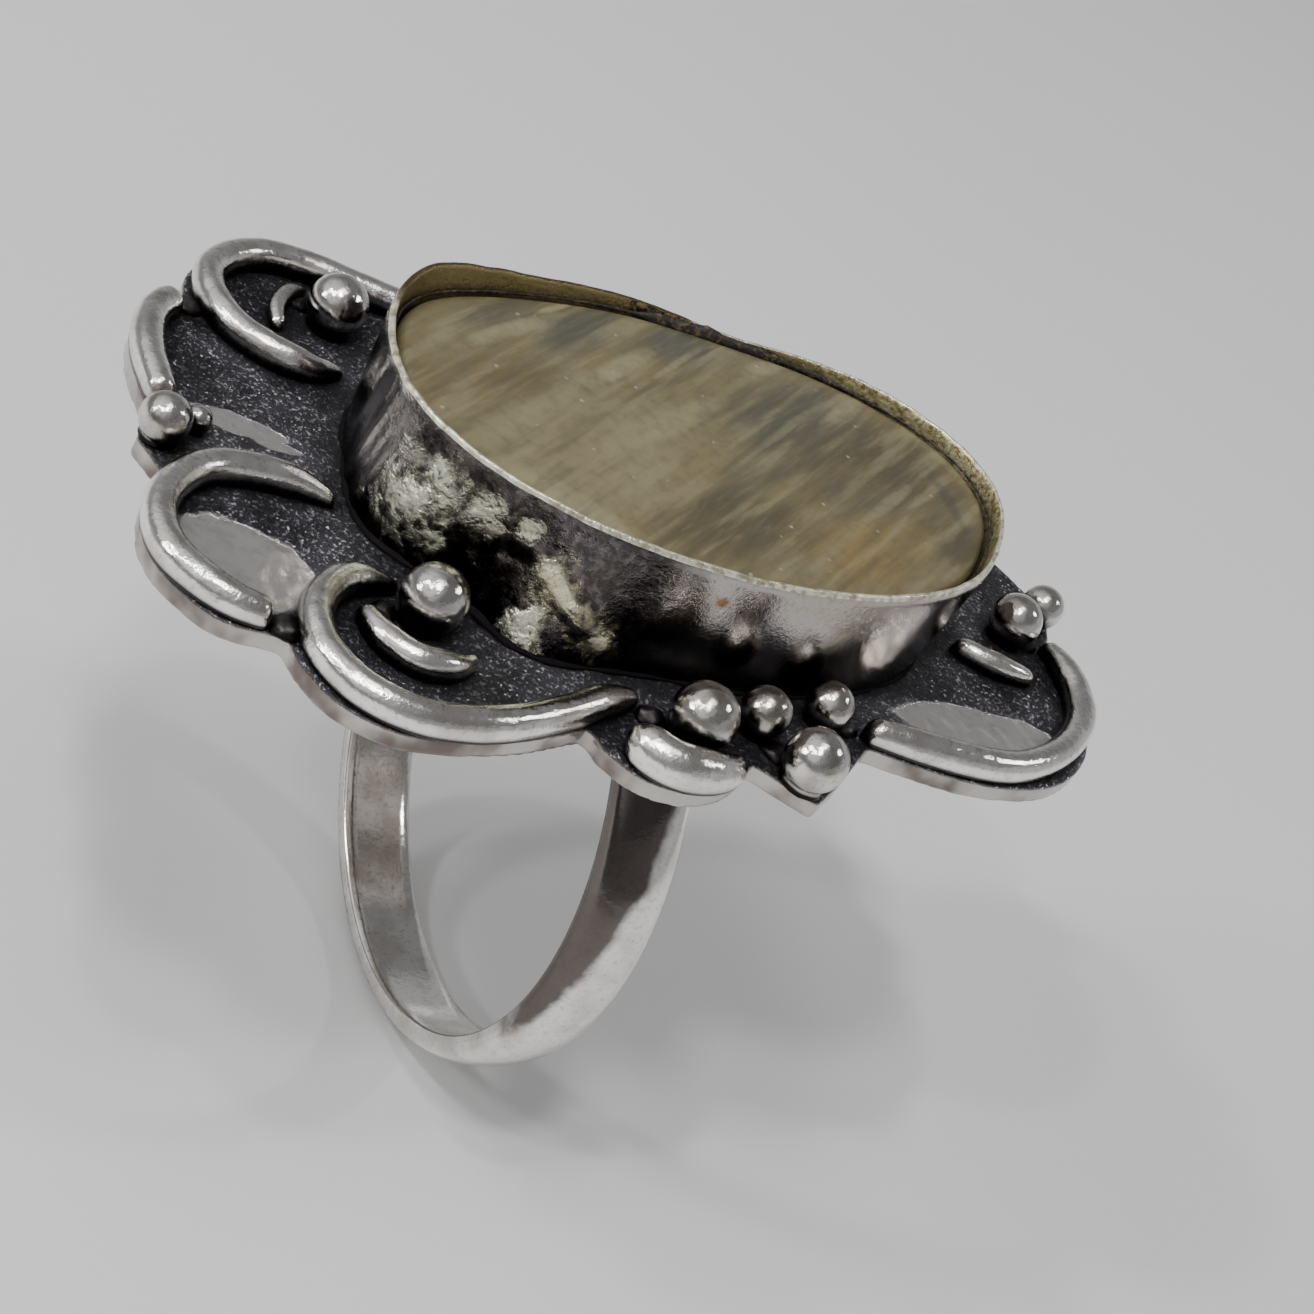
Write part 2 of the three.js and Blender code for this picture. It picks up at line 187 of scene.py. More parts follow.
class Nodes:
    """A short way to build a node tree round one Principled shader."""

    def __init__(self, name):
        self.material = bpy.data.materials.new(name)
        self.material.use_nodes = True
        self.tree = self.material.node_tree
        self.shader = self.tree.nodes["Principled BSDF"]
        self.place = self.add("ShaderNodeTexCoord").outputs["Object"]

    def add(self, kind, **settings):
        made = self.tree.nodes.new(kind)
        for key, value in settings.items():
            setattr(made, key, value)
        return made

    def feed(self, socket, value):
        if isinstance(value, bpy.types.NodeSocket):
            self.tree.links.new(value, socket)
        else:
            socket.default_value = value

    def put(self, name, value):
        """Sets or links one of the shader's own sockets."""
        self.feed(self.shader.inputs[name], value)

    def noise(self, size_mm, detail=3.0, vector=None, roughness=0.5, distortion=0.0):
        made = self.add("ShaderNodeTexNoise")
        self.feed(made.inputs["Vector"], vector or self.place)
        made.inputs["Scale"].default_value = 1 / (size_mm * MM)
        made.inputs["Detail"].default_value = detail
        made.inputs["Roughness"].default_value = roughness
        made.inputs["Distortion"].default_value = distortion
        return made.outputs["Fac"]

    def math(self, operation, a, b=0.0, clamp=False):
        made = self.add("ShaderNodeMath", operation=operation, use_clamp=clamp)
        self.feed(made.inputs[0], a)
        self.feed(made.inputs[1], b)
        return made.outputs[0]

    def plus(self, a, b):
        return self.math("ADD", a, b)

    def times(self, a, b):
        return self.math("MULTIPLY", a, b)

    def most(self, a, b):
        return self.math("MAXIMUM", a, b)

    def sway(self, value, reach):
        """Noise moved to swing evenly about zero, `reach` from end to end."""
        return self.times(self.math("SUBTRACT", value, 0.5), reach)

    def step(self, value, low, high, to_low=0.0, to_high=1.0):
        """Smooth change from to_low to to_high as value passes from low to high."""
        made = self.add("ShaderNodeMapRange", interpolation_type="SMOOTHSTEP")
        for socket, given in zip(made.inputs, (value, low, high, to_low, to_high)):
            self.feed(socket, given)
        return made.outputs["Result"]

    def mix(self, share, a, b):
        made = self.add("ShaderNodeMix", data_type="RGBA")
        self.feed(made.inputs[0], share)
        self.feed(made.inputs[6], a)
        self.feed(made.inputs[7], b)
        return made.outputs[2]

    def split(self):
        made = self.add("ShaderNodeSeparateXYZ")
        self.feed(made.inputs[0], self.place)
        return made.outputs[0], made.outputs[1], made.outputs[2]

    def shade(self, reach_mm=0.9):
        """1 in the open and 0 deep in a crevice, from the surrounding geometry."""
        made = self.add("ShaderNodeAmbientOcclusion", samples=8)
        made.inputs["Distance"].default_value = reach_mm * MM
        return made.outputs["AO"]

    def blot(self, cx, cy, half_long, half_wide, lean, fray=0.0, soft=(0.80, 1.08)):
        """1 inside a leaning ellipse seen from above and 0 outside; fray shifts its edge about."""
        lean = math.radians(lean)
        x, y, _ = self.split()
        x = self.math("SUBTRACT", x, cx * MM)
        y = self.math("SUBTRACT", y, cy * MM)
        far = None
        for across_x, across_y, half in ((math.cos(lean), math.sin(lean), half_long),
                                         (-math.sin(lean), math.cos(lean), half_wide)):
            step = self.plus(self.times(x, across_x / (half * MM)), self.times(y, across_y / (half * MM)))
            square = self.times(step, step)
            far = square if far is None else self.plus(far, square)
        return self.step(self.plus(far, fray), soft[0], soft[1], 1.0, 0.0)

    def ball(self, centre, radius, fray=0.0, soft=(0.55, 1.15)):
        """1 inside a ball round a place in millimetres, falling to 0 outside."""
        far = self.vector("DISTANCE", self.place, [c * MM for c in centre])
        far = self.math("DIVIDE", far, radius * MM)
        return self.step(self.plus(far, fray), soft[0], soft[1], 1.0, 0.0)

    def vector(self, operation, a, b=(0, 0, 0)):
        made = self.add("ShaderNodeVectorMath", operation=operation)
        self.feed(made.inputs[0], a)
        self.feed(made.inputs[1], b)
        return made.outputs["Value" if operation in ("DOT_PRODUCT", "DISTANCE") else "Vector"]

    def line(self, start, end, radius, fray=0.0, soft=(0.5, 1.2)):
        """1 close to a straight line between two places in millimetres, falling to 0 outside."""
        start = Vector(start) * MM
        reach = Vector(end) * MM - start
        off = self.vector("SUBTRACT", self.place, start)
        along = self.math("DIVIDE", self.vector("DOT_PRODUCT", off, reach), reach.length_squared, clamp=True)
        nearest = self.add("ShaderNodeVectorMath", operation="SCALE")
        nearest.inputs[0].default_value = reach
        self.feed(nearest.inputs["Scale"], along)
        far = self.vector("DISTANCE", off, nearest.outputs["Vector"])
        far = self.plus(self.math("DIVIDE", far, radius * MM), fray)
        return self.step(far, soft[0], soft[1], 1.0, 0.0)

    def bump(self, height, depth_mm, strength=1.0, normal=None):
        made = self.add("ShaderNodeBump")
        made.inputs["Strength"].default_value = strength
        made.inputs["Distance"].default_value = depth_mm * MM
        self.feed(made.inputs["Height"], height)
        if normal is not None:
            self.feed(made.inputs["Normal"], normal)
        return made.outputs["Normal"]

    def stretched(self, stretch, turn=0.0):
        """Places drawn out `stretch` times along axes turned by `turn` about the vertical."""
        made = self.add("ShaderNodeMapping", vector_type="TEXTURE")
        self.feed(made.inputs["Vector"], self.place)
        made.inputs["Rotation"].default_value = (0, 0, turn)
        made.inputs["Scale"].default_value = stretch
        return made.outputs["Vector"]


def grey(level, warm=0.0):
    """A grey of one level, turned a share towards red and away from blue."""
    return (level * (1 + warm), level, level * (1 - 1.5 * warm), 1)


# ---------------------------------------------------------------- looks: colours and places

# Colours: linear red, green and blue, and 1. First those of the shank, wires, beads and solder
# Black of oxide in hollows, also painted as shade in crevices and at the feet of pieces
OXIDE_AND_SHADE_BLACK = (0.020, 0.017, 0.018, 1)
SPECKLE_BROWN = (0.16, 0.13, 0.125, 1)
# Painted shade and dark reflection of the plate, brown-black on the upper shank
UNDER_PLATE_SHADE_BLACK = (0.035, 0.026, 0.024, 1)
UNDER_PLATE_SHADE_BROWN = (0.13, 0.10, 0.09, 1)
# The plate, its polished pools and its edge
DUST_BLACK = (0.018, 0.017, 0.022, 1)
DUST_GREY = (0.070, 0.067, 0.078, 1)
GRAIN_BRIGHT = (0.72, 0.73, 0.80, 1)
SPARKLE = (1.0, 1.0, 1.0, 1)
# Oxide black, also painted as shade close to the wires and the bezel
PLATE_BLACK = (0.010, 0.009, 0.011, 1)
POLISHED_PALE = (0.82, 0.79, 0.77, 1)
POLISHED_GREY = (0.68, 0.65, 0.63, 1)
SMUDGE_GREY = (0.26, 0.24, 0.24, 1)
EDGE_SILVER = (0.56, 0.53, 0.50, 1)
EDGE_BROWN = (0.17, 0.135, 0.12, 1)
EDGE_BLACK = (0.05, 0.045, 0.04, 1)
# The bezel wall: clean places, painted shade and reflection, and rubbed spots, pleats and a fold painted
# bright as highlights
CLEAN_GREY = (0.43, 0.395, 0.385, 1)
CLEAN_WARM = (0.40, 0.37, 0.30, 1)
GRIT_BROWN = (0.16, 0.13, 0.12, 1)
# Painted dark reflection of the plate, low on the wall
LOW_BROWN = (0.15, 0.13, 0.12, 1)
# Painted shade on the wall's left part
LEFT_SHADE_BLACK = (0.026, 0.022, 0.025, 1)
LEFT_SHADE_GREY = (0.115, 0.10, 0.10, 1)
# Painted highlight on the pleats
PLEAT_HIGHLIGHT_SILVER = (0.82, 0.78, 0.74, 1)
# Painted shade near the plate and in the wall's crevices
WALL_BLACK = (0.012, 0.011, 0.012, 1)
# Rubbed spots painted bright as highlights, with dark flecks
SPOT_FLECK_DARK = (0.15, 0.16, 0.13, 1)
SPOT_HIGHLIGHT_GREEN = (0.80, 0.81, 0.62, 1)
SPOT_HIGHLIGHT_PALE = (1.0, 0.99, 0.78, 1)
OLIVE_DARK = (0.10, 0.095, 0.05, 1)
OLIVE_PALE = (0.80, 0.76, 0.50, 1)
# Painted highlight along the fold
FOLD_HIGHLIGHT_GOLD = (0.72, 0.64, 0.34, 1)
FOLD_HIGHLIGHT_PALE = (1.0, 0.96, 0.70, 1)
RUST = (0.22, 0.105, 0.035, 1)
# The rim and the lining under it
RIM_DULL = (0.42, 0.385, 0.27, 1)
# Painted glints on the rim
RIM_GLINT = (1.0, 0.97, 0.78, 1)
BROWNED_DARK = (0.030, 0.022, 0.010, 1)
BROWNED_TAN = (0.20, 0.15, 0.07, 1)
LINING_BROWN = (0.30, 0.235, 0.105, 1)
LINING_YELLOW = (0.50, 0.42, 0.22, 1)
GOLD_DARK = (0.28, 0.235, 0.10, 1)
# Painted glints in the lining
GOLD_GLINT = (0.95, 0.88, 0.56, 1)
CRUMB_BLACK = (0.018, 0.011, 0.012, 1)
# Pits in the stone, grime, packing and floor
PIT_WHITE = (0.42, 0.40, 0.33, 1)
GRIME_BLACK = (0.016, 0.011, 0.011, 1)
GRIME_BROWN = (0.13, 0.09, 0.04, 1)
PACKING_DARK = (0.22, 0.18, 0.12, 1)
PACKING_PALE = (0.42, 0.37, 0.29, 1)
PAPER_GREY = (0.76, 0.76, 0.76, 1)
PAPER_WHITE = (0.80, 0.80, 0.795, 1)

# Polished pools on the plate: centre, half length, half width (mm) and lean (degrees)
POOLS = [
    (-14.3, -4.5, 2.3, 1.7, -25), (-13.2, 1.7, 1.7, 0.5, -14), (-12.1, 1.0, 0.8, 0.25, -10),
    (10.4, -6.9, 3.4, 1.2, -4), (10.4, 6.9, 3.4, 1.2, 4), (8.6, 4.6, 1.2, 0.6, -20),
]

# Rubbed spots on the bezel wall, painted bright as highlights: centre and radius
RUBBED_HIGHLIGHT_SPOTS = [((-9.6, -2.9, 11.9), 1.55), ((-9.3, -3.3, 13.0), 0.9), ((-8.1, -4.4, 13.0), 0.85),
          ((-7.2, -5.0, 13.3), 0.45), ((-6.4, -5.7, 12.7), 0.50), ((-6.4, -6.2, 10.9), 0.80)]
# A sharp fold in the wall, painted bright gold as a highlight: its upper and lower ends, its reach and its
# halo's
CREASE = ((-6.3, -5.75, 12.6), (-4.2, -6.6, 11.1))
CREASE_REACH = 0.34
HALO_REACH = 0.75
# Pleats painted bright silver as highlights, and one spot of rust: centre and radius
PLEAT_HIGHLIGHTS = ((-10.4, -0.4, 13.0), 1.9)
RUST_SPOT = ((-1.5, -6.9, 13.55), 0.26)
# Between these places along X the wall's painted shade gives way to clean metal
LEFT_SHADE_ENDS = (-3.6, -2.2)
# Browned stretch of the rim and crumbs inside it: centre, half length, half width, lean
BROWNED_RIM = (-4.5, 6.6, 8.0, 3.4, 12)
CRUMBS_INSIDE = (2.2, 6.2, 3.4, 2.4, -8)

# Stone colours and markings: centre, half length, half width (mm), lean (degrees), colour, strength
GRAIN_TURN = 40
STONE_BASE = (0.158, 0.136, 0.075, 1)
STONE_WARM = (0.163, 0.129, 0.061, 1)
STONE_PALE = (0.278, 0.250, 0.148, 1)
STONE_LIGHT = (0.240, 0.208, 0.117, 1)
STONE_DARK = (0.066, 0.061, 0.043, 1)
STONE_GREEN = (0.078, 0.079, 0.056, 1)
STONE_BROWN = (0.116, 0.086, 0.036, 1)
STONE_UMBER = (0.074, 0.059, 0.032, 1)
STONE_AMBER = (0.200, 0.143, 0.052, 1)
STONE_PATCHES = [
    (-5.0, -2.6, 6.5, 2.6, 40, STONE_LIGHT, 0.60), (-6.0, -4.7, 2.4, 0.9, -32, STONE_PALE, 0.90),
    (6.8, 0.8, 5.0, 3.4, 20, STONE_UMBER, 0.50), (-6.2, 1.1, 2.2, 1.1, 35, STONE_BROWN, 0.60),
    (-9.3, -0.4, 1.0, 1.8, 10, STONE_BROWN, 0.45), (-5.6, 4.6, 2.8, 0.6, 34, STONE_GREEN, 0.75),
    (-2.8, 4.5, 2.6, 1.1, 36, STONE_GREEN, 0.95), (1.0, 4.9, 1.8, 1.1, 34, STONE_GREEN, 0.95),
    (4.4, 2.3, 3.6, 1.5, 34, STONE_GREEN, 0.85), (8.0, 0.9, 2.4, 1.9, 20, STONE_UMBER, 0.80),
    (1.2, -1.6, 3.2, 0.7, 42, STONE_GREEN, 0.45), (-0.4, -4.1, 3.6, 1.5, 22, STONE_UMBER, 0.75),
    (4.9, -3.9, 3.3, 1.4, 34, STONE_AMBER, 0.80), (9.0, -2.8, 1.6, 1.3, 40, STONE_UMBER, 0.85),
]
STONE_STREAKS = [
    (-5.5, 3.6, 3.0, 0.34, 33, STONE_PALE, 0.75), (-3.3, 5.5, 1.2, 0.16, 36, STONE_PALE, 0.8),
    (-2.0, 2.8, 2.4, 0.42, 38, STONE_PALE, 0.80), (-0.9, 0.5, 3.4, 0.50, 38, STONE_PALE, 0.55),
    (0.4, 3.1, 3.0, 0.24, 40, STONE_DARK, 0.60), (-1.3, 2.0, 1.9, 0.12, 40, STONE_DARK, 0.5),
    (0.6, 3.9, 2.0, 0.16, 42, STONE_PALE, 0.60), (2.3, 5.1, 1.5, 0.12, 40, STONE_DARK, 0.7),
    (4.4, 4.9, 1.8, 0.42, 38, STONE_PALE, 0.65), (4.2, 3.2, 3.4, 0.40, 38, STONE_DARK, 0.45),
    (3.4, 1.2, 4.2, 0.16, 41, STONE_PALE, 0.35), (5.6, 1.0, 3.8, 0.50, 38, STONE_DARK, 0.45),
    (1.2, -0.6, 3.6, 0.12, 42, STONE_DARK, 0.5), (5.0, -1.0, 1.6, 0.40, 38, STONE_DARK, 0.50),
    (7.0, 3.5, 1.9, 0.34, 40, STONE_PALE, 0.80), (6.6, -1.3, 3.0, 0.22, 40, STONE_PALE, 0.45),
    (9.35, -0.4, 2.2, 0.34, 92, STONE_DARK, 0.8), (-6.8, -1.0, 3.0, 0.6, 40, STONE_PALE, 0.35),
]


# ---------------------------------------------------------------- materials

def silver(name, bright, dull, polish=0.14, foot_shade_mm=0.3, reach_mm=1.3, shade=(0.50, 0.84), grain=1.0,
           plate_shade=None):
    """Plated metal: rubbed bright on top, stained in patches, black in crevices from oxide and painted shade,
    and black at its foot as painted shade.

    The last argument gives the heights in millimetres between which a brown-black painted shade and
    dark reflection of the plate above comes in, and how much the heights drop per millimetre towards -X.
    """
    n = Nodes(name)
    height = n.split()[2]
    patches = n.noise(1.1, 4)
    speckle = n.noise(0.17, 4, roughness=0.65)
    grit = n.noise(0.07, 2)
    open_sky = n.plus(n.shade(reach_mm), n.sway(patches, 0.35))
    open_sky = n.plus(open_sky, n.sway(speckle, 0.25))
    # Oxide and painted shade: black where the surroundings close in
    crevice = n.step(open_sky, shade[0], shade[1], 1.0, 0.0)
    # Painted shade at the foot of each piece, weaker where it stands in the open
    foot = n.step(height, (PLATE_TOP + 0.3 * foot_shade_mm) * MM, (PLATE_TOP + foot_shade_mm) * MM, 1.0, 0.0)
    foot = n.times(foot, n.step(n.shade(reach_mm), 0.60, 0.95, 1.0, 0.35))
    black = n.most(crevice, foot)
    if foot_shade_mm:
        # Painted shade: a black collar where the piece meets the plate
        collar = n.step(height, (PLATE_TOP + 0.10) * MM, (PLATE_TOP + 0.26) * MM, 1.0, 0.0)
        black = n.most(black, collar)
    stained = n.mix(n.step(patches, 0.40, 0.66), bright, dull)
    stained = n.mix(n.times(n.step(speckle, 0.54, 0.66), 0.32), stained, SPECKLE_BROWN)
    if plate_shade:
        low, high, lean = plate_shade
        level = n.math("SUBTRACT", height, n.times(n.split()[0], lean))
        level = n.plus(level, n.sway(patches, 4 * MM))
        # Painted shade and dark reflection of the plate above, coming in over the upper shank
        overlay = n.mix(speckle, UNDER_PLATE_SHADE_BLACK, UNDER_PLATE_SHADE_BROWN)
        stained = n.mix(n.step(level, low * MM, high * MM, 0.0, 0.92), stained, overlay)
    n.put("Base Color", n.mix(black, stained, OXIDE_AND_SHADE_BLACK))
    shine = n.plus(n.step(patches, 0.3, 0.7, polish, polish + 0.08), n.times(black, 0.2))
    n.put("Roughness", n.plus(shine, n.step(speckle, 0.4, 0.7, 0.0, 0.08)))
    n.put("Metallic", 1.0)
    scratches = n.noise(0.10, 2, n.stretched((1.0, 8.0, 2.0), 0.6))
    first = n.bump(scratches, 0.004, 0.6 * grain)
    second = n.bump(grit, 0.007, 0.8 * grain, first)
    third = n.bump(speckle, 0.022, 0.65 * grain, second)
    n.put("Normal", n.bump(n.noise(0.8, 2), 0.07, 0.6 * grain, third))
    return n.material


def plate_metal():
    """Top: sandy black with rubbed bright grains and plain grey polished pools. Rest: dull silver."""
    n = Nodes("oxidised_plate")
    z = n.split()[2]
    sand = n.noise(0.13, 4, roughness=0.7)
    broad = n.noise(2.2, 3)
    wobble = n.sway(n.noise(1.0, 4, roughness=0.5), 1.1)
    pools = 0.0
    for pool in POOLS:
        pools = n.most(pools, n.blot(*pool, fray=wobble))
    top = n.step(z, (PLATE_TOP - 0.18) * MM, (PLATE_TOP - 0.06) * MM)
    pools = n.times(pools, n.step(n.shade(), 0.35, 0.7))
    grains = n.times(n.step(sand, 0.55, 0.64), n.step(broad, 0.38, 0.60, 0.25, 1.0))
    dust = n.mix(n.step(broad, 0.38, 0.64), DUST_BLACK, DUST_GREY)
    black = n.mix(grains, dust, GRAIN_BRIGHT)
    sparkles = n.step(n.noise(0.16, 3, roughness=0.6), 0.64, 0.68)
    black = n.mix(sparkles, black, SPARKLE)
    # Painted shade over the oxide: the top goes darker still close to the wires and the bezel
    black = n.mix(n.step(n.shade(1.8), 0.50, 0.86, 0.85, 0.0), black, PLATE_BLACK)
    smudge = n.step(n.noise(0.5, 4, roughness=0.65), 0.46, 0.66)
    polished = n.mix(broad, POLISHED_PALE, POLISHED_GREY)
    polished = n.mix(n.times(smudge, 0.22), polished, SMUDGE_GREY)
    floor = n.mix(pools, black, polished)
    warm = n.mix(n.step(broad, 0.42, 0.66), EDGE_SILVER, EDGE_BROWN)
    edge_shade = n.step(n.shade(), 0.3, 0.8)
    side = n.mix(edge_shade, EDGE_BLACK, warm)
    n.put("Base Color", n.mix(top, side, floor))
    sandy = n.times(top, n.math("SUBTRACT", 1.0, pools))
    n.put("Roughness", n.step(sandy, 0.0, 1.0, 0.16, 0.30))
    n.put("Metallic", n.step(sandy, 0.0, 1.0, 0.85, 0.60))
    grain_height = n.times(sand, n.step(sandy, 0.0, 1.0, 0.05, 1.0))
    waves = n.bump(n.noise(1.4, 2), 0.08, 0.5)
    n.put("Normal", n.bump(grain_height, 0.15, 1.0, waves))
    return n.material


def bezel_metal():
    """Bright strip, mirror-like and clean to the right, crinkled to the left; painted shade darkens its left
    part and foot, painted reflection its lower part, and rubbed spots, pleats and a fold are painted bright
    as highlights.
    """
    n = Nodes("bezel_metal")
    x, _, height = n.split()
    broad = n.noise(2.4, 4, distortion=0.4)
    fine = n.noise(0.30, 4, roughness=0.65)
    grit = n.noise(0.13, 3, roughness=0.7)
    fray = n.sway(fine, 1.3)
    clean = n.mix(n.step(broad, 0.44, 0.64), CLEAN_GREY, CLEAN_WARM)
    clean = n.mix(n.times(n.step(grit, 0.50, 0.72), 0.40), clean, GRIT_BROWN)
    # Painted dark reflection of the plate: the wall darker towards its bottom
    low_side = n.step(height, (RIM_Z - 1.6) * MM, (RIM_Z - 2.6) * MM, 0.0, 0.55)
    clean = n.mix(low_side, clean, LOW_BROWN)
    # Painted shade: the wall darkened towards -X, with a ragged edge
    left = n.step(n.plus(x, n.sway(broad, 3 * MM)), LEFT_SHADE_ENDS[0] * MM, LEFT_SHADE_ENDS[1] * MM, 1.0, 0.0)
    # Painted highlights on the pleats, bright silver through the painted shade
    pleat_highlights = n.ball(*PLEAT_HIGHLIGHTS, n.times(fray, 0.6))
    left_shade = n.mix(n.step(fine, 0.42, 0.66), LEFT_SHADE_BLACK, LEFT_SHADE_GREY)
    left_shade = n.mix(n.times(pleat_highlights, 0.85), left_shade, PLEAT_HIGHLIGHT_SILVER)
    body = n.mix(n.times(left, 0.90), clean, left_shade)
    # Painted shade: the wall goes black near the plate and in crevices
    foot = n.plus(height, n.sway(broad, 1.2 * MM))
    foot = n.step(foot, (PLATE_TOP + 0.35) * MM, (PLATE_TOP + 1.1) * MM, 1.0, 0.0)
    black = n.most(foot, n.step(n.shade(1.2), 0.40, 0.72, 1.0, 0.0))
    body = n.mix(n.times(black, 0.94), body, WALL_BLACK)
    rubbed_highlights = 0.0
    ragged = n.sway(n.noise(0.9, 4, roughness=0.6), 4.0)
    for centre, radius in RUBBED_HIGHLIGHT_SPOTS:
        rubbed_highlights = n.most(rubbed_highlights, n.ball(centre, radius, ragged, (0.15, 1.15)))
    # Painted highlights on the rubbed spots: pale and green-white, with dark flecks
    spots = n.mix(n.step(fine, 0.34, 0.48), SPOT_FLECK_DARK, SPOT_HIGHLIGHT_GREEN)
    spots = n.mix(n.step(n.noise(0.45, 4, roughness=0.65), 0.43, 0.53), spots, SPOT_HIGHLIGHT_PALE)
    body = n.mix(n.times(rubbed_highlights, 0.94), body, spots)
    halo = n.line(*CREASE, HALO_REACH, ragged, (0.1, 1.1))
    body = n.mix(n.times(halo, 0.6), body, n.mix(n.step(fine, 0.40, 0.60), OLIVE_DARK, OLIVE_PALE))
    # Painted highlight: the fold bright gold and pale
    crease = n.line(*CREASE, CREASE_REACH, n.times(ragged, 0.6), (0.3, 1.15))
    body = n.mix(crease, body, n.mix(n.step(grit, 0.34, 0.48), FOLD_HIGHLIGHT_GOLD, FOLD_HIGHLIGHT_PALE))
    rust = n.ball(*RUST_SPOT, n.times(fray, 0.7), (0.3, 1.2))
    n.put("Base Color", n.mix(n.times(rust, 0.85), body, RUST))
    highlight_marks = n.most(rubbed_highlights, n.most(crease, n.times(halo, 0.5)))
    rough_share = n.most(highlight_marks, n.times(left, 0.30))
    gloss = n.plus(n.step(rough_share, 0.0, 1.0, 0.04, 0.18), n.step(grit, 0.4, 0.7, 0.0, 0.08))
    n.put("Roughness", gloss)
    n.put("Metallic", n.step(highlight_marks, 0.0, 1.0, 1.0, 0.70))
    depth = n.times(fine, n.step(rough_share, 0.0, 1.0, 0.06, 1.0))
    n.put("Normal", n.bump(depth, 0.15, 0.9, n.bump(grit, 0.016, 0.6)))
    return n.material


def rim_metal():
    """Top edge of the strip: painted glints along it, browned along the far left."""
    n = Nodes("rim_metal")
    fine = n.noise(0.28, 4, roughness=0.65)
    broad = n.noise(1.3, 3)
    # Painted glints: pale yellow-white flecks along the rim
    bright = n.mix(n.step(fine, 0.38, 0.58), RIM_DULL, RIM_GLINT)
    brown = n.mix(fine, BROWNED_DARK, BROWNED_TAN)
    far_left = n.blot(*BROWNED_RIM, fray=n.sway(broad, 0.8))
    n.put("Base Color", n.mix(far_left, bright, brown))
    n.put("Roughness", n.step(fine, 0.35, 0.65, 0.34, 0.16))
    n.put("Metallic", 0.65)
    n.put("Normal", n.bump(fine, 0.07, 0.9))
    return n.material


def lining_metal():
    """Inside of the strip above the stone: yellow-brown film with dark crumbs, brighter at the right with
    painted glints.
    """
    n = Nodes("lining_metal")
    x, _, height = n.split()
    fine = n.noise(0.20, 4, roughness=0.7)
    broad = n.noise(1.6, 3)
    overlay = n.mix(broad, LINING_BROWN, LINING_YELLOW)
    # Painted glints: bright gold flecks, laid in towards the right
    gold = n.mix(n.step(fine, 0.34, 0.72), GOLD_DARK, GOLD_GLINT)
    overlay = n.mix(n.step(x, 4.5 * MM, 7.5 * MM), overlay, gold)
    crumbs = n.step(fine, 0.44, 0.56)
    ragged = n.sway(broad, 0.8)
    dirty = n.blot(*CRUMBS_INSIDE, ragged, (0.5, 1.1))
    low = n.step(height, (STONE_TOP + 0.02) * MM, (STONE_TOP + 0.20) * MM, 0.55, 0.0)
    share = n.times(crumbs, n.most(dirty, low))
    n.put("Base Color", n.mix(share, overlay, CRUMB_BLACK))
    n.put("Roughness", n.step(fine, 0.3, 0.7, 0.25, 0.5))
    n.put("Metallic", n.step(share, 0.0, 1.0, 0.85, 0.2))
    n.put("Normal", n.bump(fine, 0.06, 0.7))
    return n.material


def stone_body():
    """Olive-grey banded stone: slanting streaks, darker clouds, an amber corner and tiny white pits."""
    n = Nodes("banded_stone")
    flow = n.stretched((9.0, 1.0, 1.0), math.radians(GRAIN_TURN))
    streaks = n.noise(0.62, 4, flow, roughness=0.55)
    threads = n.noise(0.15, 4, flow, roughness=0.6)
    cloud = n.noise(2.6, 4, roughness=0.55)
    mottle = n.noise(0.55, 4, roughness=0.6)
    fray = n.plus(n.sway(streaks, 1.5), n.sway(mottle, 0.8))
    colour = n.mix(n.step(cloud, 0.36, 0.64), STONE_BASE, STONE_WARM)
    for *where, tint, share in STONE_PATCHES:
        cover = n.blot(*where, fray=fray, soft=(0.0, 1.4))
        colour = n.mix(n.times(cover, share), colour, tint)
    colour = n.mix(n.times(n.step(streaks, 0.48, 0.66), 0.42), colour, STONE_PALE)
    colour = n.mix(n.times(n.step(streaks, 0.50, 0.36), 0.38), colour, STONE_DARK)
    ragged = n.times(fray, 1.7)
    for *where, tint, share in STONE_STREAKS:
        cover = n.blot(*where, fray=ragged, soft=(-0.2, 1.2))
        colour = n.mix(n.times(cover, share), colour, tint)
    colour = n.mix(n.times(n.step(threads, 0.50, 0.72), 0.16), colour, STONE_PALE)
    colour = n.mix(n.times(n.step(mottle, 0.46, 0.66), 0.20), colour, STONE_DARK)
    pits = n.add("ShaderNodeTexVoronoi")
    n.feed(pits.inputs["Vector"], n.place)
    pits.inputs["Scale"].default_value = 1 / (0.7 * MM)
    dots = n.step(pits.outputs["Distance"], 0.06, 0.13, 1.0, 0.0)
    dots = n.times(n.times(dots, n.step(n.noise(1.6, 2), 0.50, 0.60)), 0.6)
    n.put("Base Color", n.mix(dots, colour, PIT_WHITE))
    n.put("Roughness", n.step(threads, 0.3, 0.7, 0.30, 0.42))
    n.put("IOR", 1.54)
    n.put("Subsurface Weight", 0.15)
    n.put("Subsurface Radius", (0.8 * MM, 0.7 * MM, 0.4 * MM))
    n.put("Subsurface Scale", 1.0)
    n.put("Normal", n.bump(n.noise(3.0, 2), 0.05, 0.25))
    return n.material


def setting_dirt():
    """Brown-black grime and setting compound in the seam round the stone."""
    n = Nodes("setting_dirt")
    crumbs = n.noise(0.22, 4, roughness=0.7)
    colour = n.mix(n.step(crumbs, 0.48, 0.68), GRIME_BLACK, GRIME_BROWN)
    n.put("Base Color", colour)
    n.put("Roughness", n.step(crumbs, 0.3, 0.7, 0.45, 0.8))
    n.put("Normal", n.bump(crumbs, 0.08, 0.8))
    return n.material


